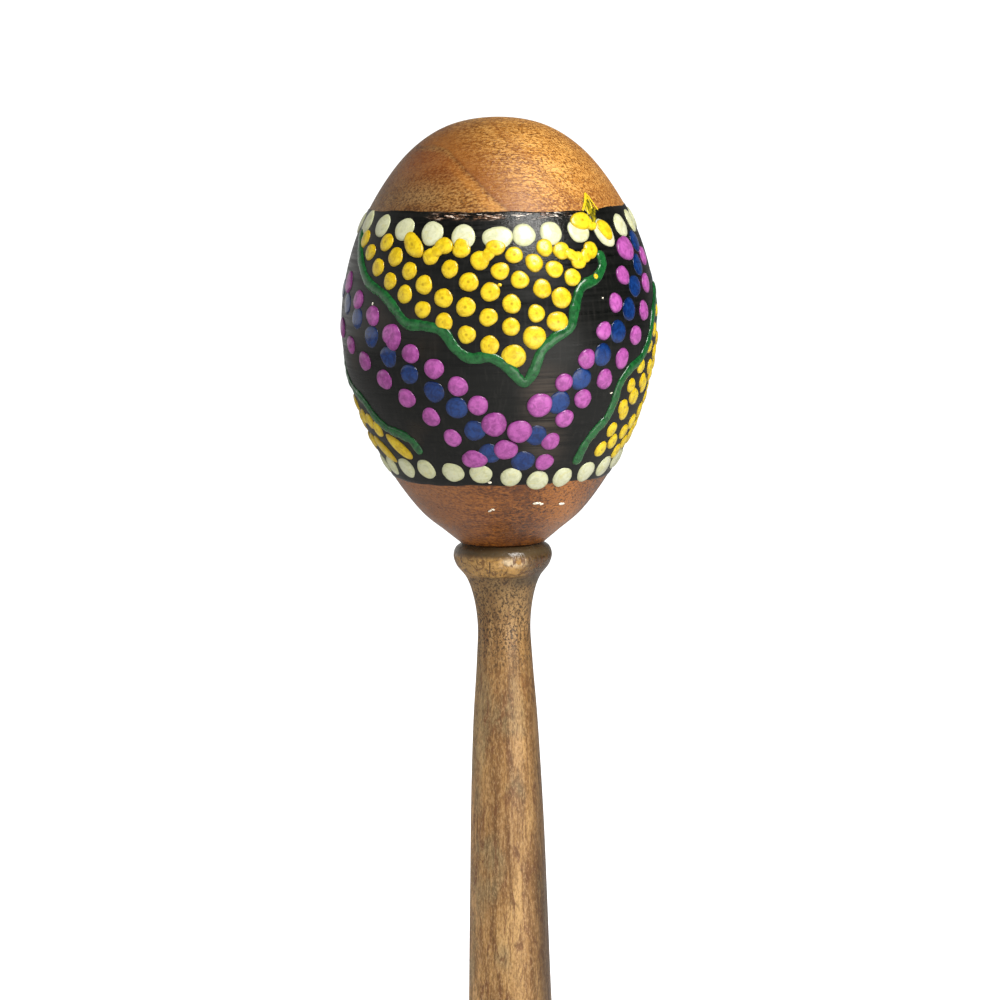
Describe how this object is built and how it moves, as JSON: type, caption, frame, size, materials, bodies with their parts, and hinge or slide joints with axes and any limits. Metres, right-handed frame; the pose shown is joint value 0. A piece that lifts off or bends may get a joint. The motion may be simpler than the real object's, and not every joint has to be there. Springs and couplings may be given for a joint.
{
  "type": "maraca",
  "caption": "Egg-shaped wooden maraca: a hollow turned head with loose dry seeds inside, on a slim turned handle with a bead collar under the head.",
  "frame": {"origin": "centre of the handle's flat end, which is the lowest point of the standing maraca", "axes": "+Z along the axis from the handle towards the head; X and Y are free, and the front of the painted pattern faces -Y"},
  "size_m": [0.0624, 0.0624, 0.215],
  "materials": {
    "head_wood": "varnished orange-brown wood",
    "handle_wood": "satin tan wood with dark pores",
    "seed_skin": "smooth hard dark seed coat"
  },
  "bodies": {
    "instrument": {"upper_shell": "head_wood", "lower_shell": "head_wood", "handle": "handle_wood"},
    "seed_01": {"seed_01": "seed_skin"},
    "seed_02": {"seed_02": "seed_skin"},
    "seed_03": {"seed_03": "seed_skin"},
    "seed_04": {"seed_04": "seed_skin"},
    "seed_05": {"seed_05": "seed_skin"},
    "seed_06": {"seed_06": "seed_skin"},
    "seed_07": {"seed_07": "seed_skin"},
    "seed_08": {"seed_08": "seed_skin"},
    "seed_09": {"seed_09": "seed_skin"},
    "seed_10": {"seed_10": "seed_skin"},
    "seed_11": {"seed_11": "seed_skin"},
    "seed_12": {"seed_12": "seed_skin"},
    "seed_13": {"seed_13": "seed_skin"},
    "seed_14": {"seed_14": "seed_skin"},
    "seed_15": {"seed_15": "seed_skin"},
    "seed_16": {"seed_16": "seed_skin"},
    "seed_17": {"seed_17": "seed_skin"},
    "seed_18": {"seed_18": "seed_skin"},
    "seed_19": {"seed_19": "seed_skin"},
    "seed_20": {"seed_20": "seed_skin"},
    "seed_21": {"seed_21": "seed_skin"},
    "seed_22": {"seed_22": "seed_skin"},
    "seed_23": {"seed_23": "seed_skin"}
  },
  "joints": [
    {"name": "seed_01_rattle", "type": "slide", "parent": "instrument", "child": "seed_01", "axis": [0, 0, 1], "range_m": [0, 0.064]},
    {"name": "seed_02_rattle", "type": "slide", "parent": "instrument", "child": "seed_02", "axis": [0, 0, 1], "range_m": [0, 0.0625]},
    {"name": "seed_03_rattle", "type": "slide", "parent": "instrument", "child": "seed_03", "axis": [0, 0, 1], "range_m": [0, 0.0625]},
    {"name": "seed_04_rattle", "type": "slide", "parent": "instrument", "child": "seed_04", "axis": [0, 0, 1], "range_m": [0, 0.0625]},
    {"name": "seed_05_rattle", "type": "slide", "parent": "instrument", "child": "seed_05", "axis": [0, 0, 1], "range_m": [0, 0.0625]},
    {"name": "seed_06_rattle", "type": "slide", "parent": "instrument", "child": "seed_06", "axis": [0, 0, 1], "range_m": [0, 0.0625]},
    {"name": "seed_07_rattle", "type": "slide", "parent": "instrument", "child": "seed_07", "axis": [0, 0, 1], "range_m": [0, 0.0625]},
    {"name": "seed_08_rattle", "type": "slide", "parent": "instrument", "child": "seed_08", "axis": [0, 0, 1], "range_m": [0, 0.0625]},
    {"name": "seed_09_rattle", "type": "slide", "parent": "instrument", "child": "seed_09", "axis": [0, 0, 1], "range_m": [0, 0.0625]},
    {"name": "seed_10_rattle", "type": "slide", "parent": "instrument", "child": "seed_10", "axis": [0, 0, 1], "range_m": [0, 0.0555]},
    {"name": "seed_11_rattle", "type": "slide", "parent": "instrument", "child": "seed_11", "axis": [0, 0, 1], "range_m": [0, 0.0555]},
    {"name": "seed_12_rattle", "type": "slide", "parent": "instrument", "child": "seed_12", "axis": [0, 0, 1], "range_m": [0, 0.0555]},
    {"name": "seed_13_rattle", "type": "slide", "parent": "instrument", "child": "seed_13", "axis": [0, 0, 1], "range_m": [0, 0.0555]},
    {"name": "seed_14_rattle", "type": "slide", "parent": "instrument", "child": "seed_14", "axis": [0, 0, 1], "range_m": [0, 0.0555]},
    {"name": "seed_15_rattle", "type": "slide", "parent": "instrument", "child": "seed_15", "axis": [0, 0, 1], "range_m": [0, 0.0555]},
    {"name": "seed_16_rattle", "type": "slide", "parent": "instrument", "child": "seed_16", "axis": [0, 0, 1], "range_m": [0, 0.0555]},
    {"name": "seed_17_rattle", "type": "slide", "parent": "instrument", "child": "seed_17", "axis": [0, 0, 1], "range_m": [0, 0.0555]},
    {"name": "seed_18_rattle", "type": "slide", "parent": "instrument", "child": "seed_18", "axis": [0, 0, 1], "range_m": [0, 0.0555]},
    {"name": "seed_19_rattle", "type": "slide", "parent": "instrument", "child": "seed_19", "axis": [0, 0, 1], "range_m": [0, 0.0555]},
    {"name": "seed_20_rattle", "type": "slide", "parent": "instrument", "child": "seed_20", "axis": [0, 0, 1], "range_m": [0, 0.0555]},
    {"name": "seed_21_rattle", "type": "slide", "parent": "instrument", "child": "seed_21", "axis": [0, 0, 1], "range_m": [0, 0.0555]},
    {"name": "seed_22_rattle", "type": "slide", "parent": "instrument", "child": "seed_22", "axis": [0, 0, 1], "range_m": [0, 0.0555]},
    {"name": "seed_23_rattle", "type": "slide", "parent": "instrument", "child": "seed_23", "axis": [0, 0, 1], "range_m": [0, 0.0555]}
  ]
}
